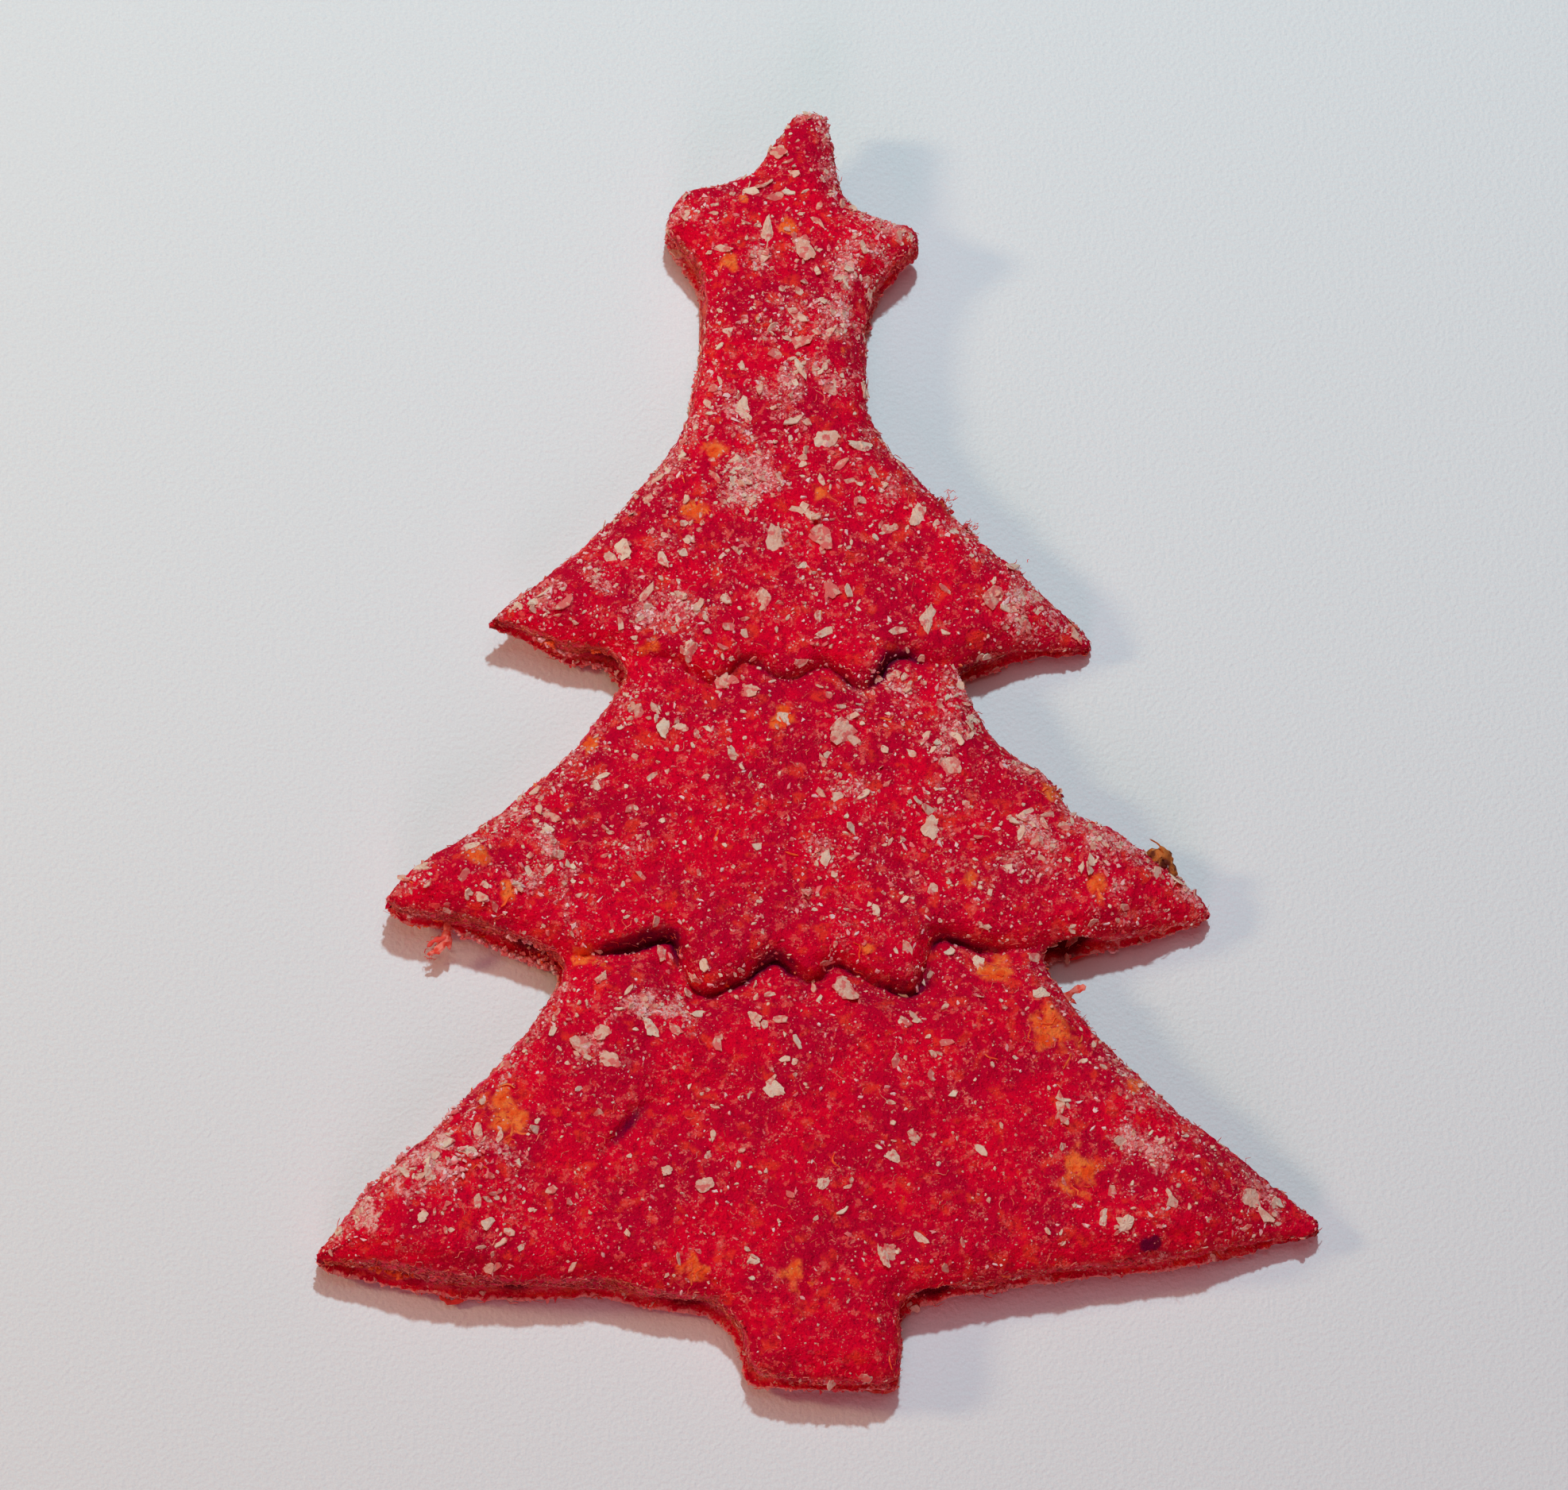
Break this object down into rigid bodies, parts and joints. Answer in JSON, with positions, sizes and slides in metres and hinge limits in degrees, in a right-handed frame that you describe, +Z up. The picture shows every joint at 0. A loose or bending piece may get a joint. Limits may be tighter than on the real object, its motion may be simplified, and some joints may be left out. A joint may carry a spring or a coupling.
{
  "type": "dog biscuit",
  "caption": "Flat dog biscuit cut as a layered fir tree with a star on top, with rounded edges and pressed scallop lines.",
  "frame": {"origin": "middle of the biscuit's box on its flat underside", "axes": "+X across the tree, +Y from the trunk to the star, +Z up out of the top"},
  "size_m": [0.0664, 0.0896, 0.0054],
  "materials": {
    "dough": "matt, rough, baked and floury",
    "bran": "pale cream flakes and crumbs of bran",
    "flour": "pinkish dust of flour and ground bran",
    "carrot": "orange shreds of carrot",
    "beet_shred": "red fibres and crumbs of beetroot dough",
    "skin": "browned vegetable skin"
  },
  "bodies": {
    "root": {"biscuit": "dough"}
  },
  "joints": []
}
